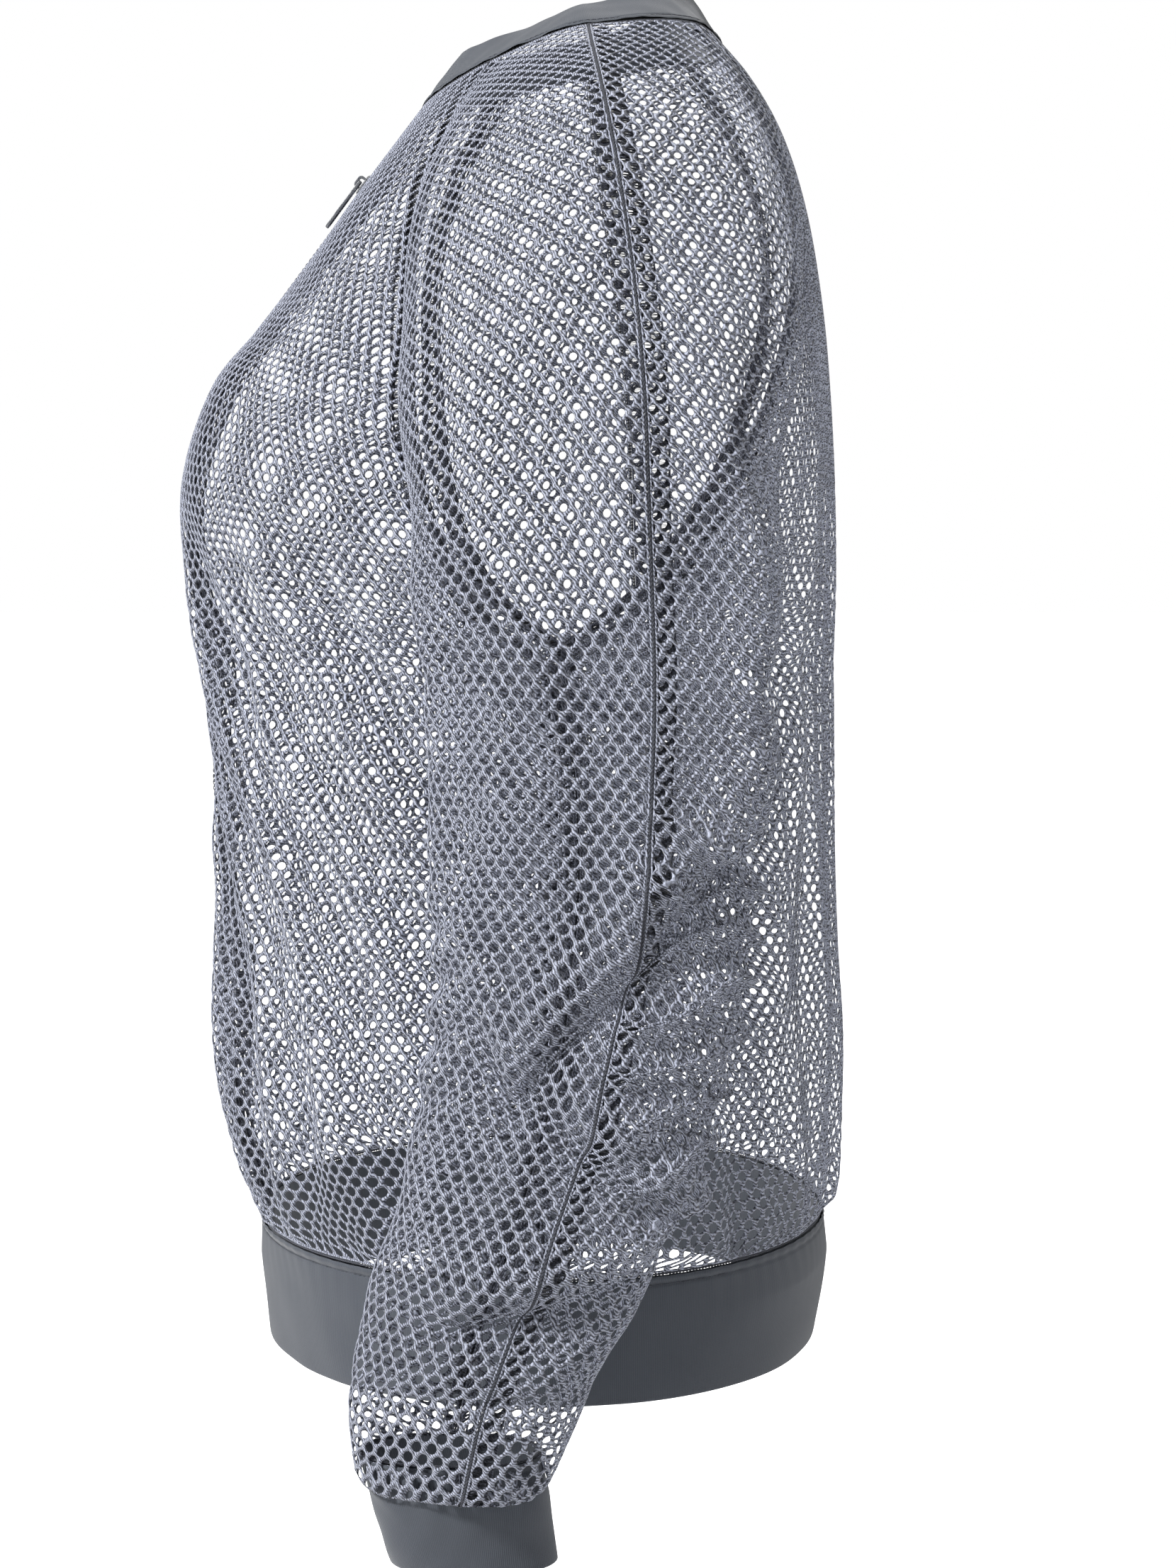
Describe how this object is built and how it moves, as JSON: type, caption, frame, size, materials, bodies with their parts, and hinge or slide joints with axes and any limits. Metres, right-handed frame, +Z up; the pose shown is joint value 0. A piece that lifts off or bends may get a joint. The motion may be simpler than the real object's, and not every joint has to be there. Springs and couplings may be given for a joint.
{
  "type": "beekeeping jacket",
  "caption": "Ventilated open-mesh beekeeping jacket with raglan sleeves, knit neckband, cuffs and hem band, and a separating front zip.",
  "frame": {"origin": "midway between the shoulders, level with the side neck points, where the jacket hangs", "axes": "+X to the wearer's left, +Y to the wearer's back, +Z up"},
  "size_m": [0.5332, 0.3169, 0.6883],
  "materials": {
    "mesh_cloth": "coarse knitted polyester mesh with round holes, bluish grey, slightly lustrous yarn",
    "knit_band": "smooth stretch knit, slate grey, matt",
    "seam_thread": "overlocked polyester thread, dark grey",
    "zip_tape": "woven polyester tape, dark grey",
    "zip_teeth": "moulded plastic teeth, dark grey, satin",
    "zip_metal": "grey enamelled zinc, satin, worn bright on its edges"
  },
  "bodies": {
    "jacket": {"front_panel_left": "mesh_cloth", "front_panel_right": "mesh_cloth", "back_panel": "mesh_cloth", "sleeve_front_left": "mesh_cloth", "sleeve_back_left": "mesh_cloth", "sleeve_front_right": "mesh_cloth", "sleeve_back_right": "mesh_cloth", "neckband": "knit_band", "hem_band": "knit_band", "cuff_left": "knit_band", "cuff_right": "knit_band", "overarm_seam_left": "seam_thread", "front_raglan_seam_left": "seam_thread", "back_raglan_seam_left": "seam_thread", "side_seam_left": "seam_thread", "underarm_seam_left": "seam_thread", "cuff_seam_left": "seam_thread", "overarm_seam_right": "seam_thread", "front_raglan_seam_right": "seam_thread", "back_raglan_seam_right": "seam_thread", "side_seam_right": "seam_thread", "underarm_seam_right": "seam_thread", "cuff_seam_right": "seam_thread", "neck_seam": "seam_thread", "hem_seam": "seam_thread", "zip_tape_left": "zip_tape", "zip_tape_right": "zip_tape", "zip_teeth_left": "zip_teeth", "zip_teeth_right": "zip_teeth", "zip_top_stop_left": "zip_metal", "zip_top_stop_right": "zip_metal", "zip_insertion_pin": "zip_metal", "zip_retainer_box": "zip_metal"},
    "slider": {"zip_slider": "zip_metal"},
    "pull": {"zip_pull": "zip_metal"}
  },
  "joints": [
    {"name": "zip_slide", "type": "slide", "parent": "jacket", "child": "slider", "axis": [0, 0.601, 0.7993], "range_m": [-0.08, 0.064]},
    {"name": "pull_swing", "type": "hinge", "parent": "slider", "child": "pull", "pos_m": [0, -0.07556, -0.06132], "axis": [-1, 0, 0], "range_deg": [0, 170]}
  ]
}
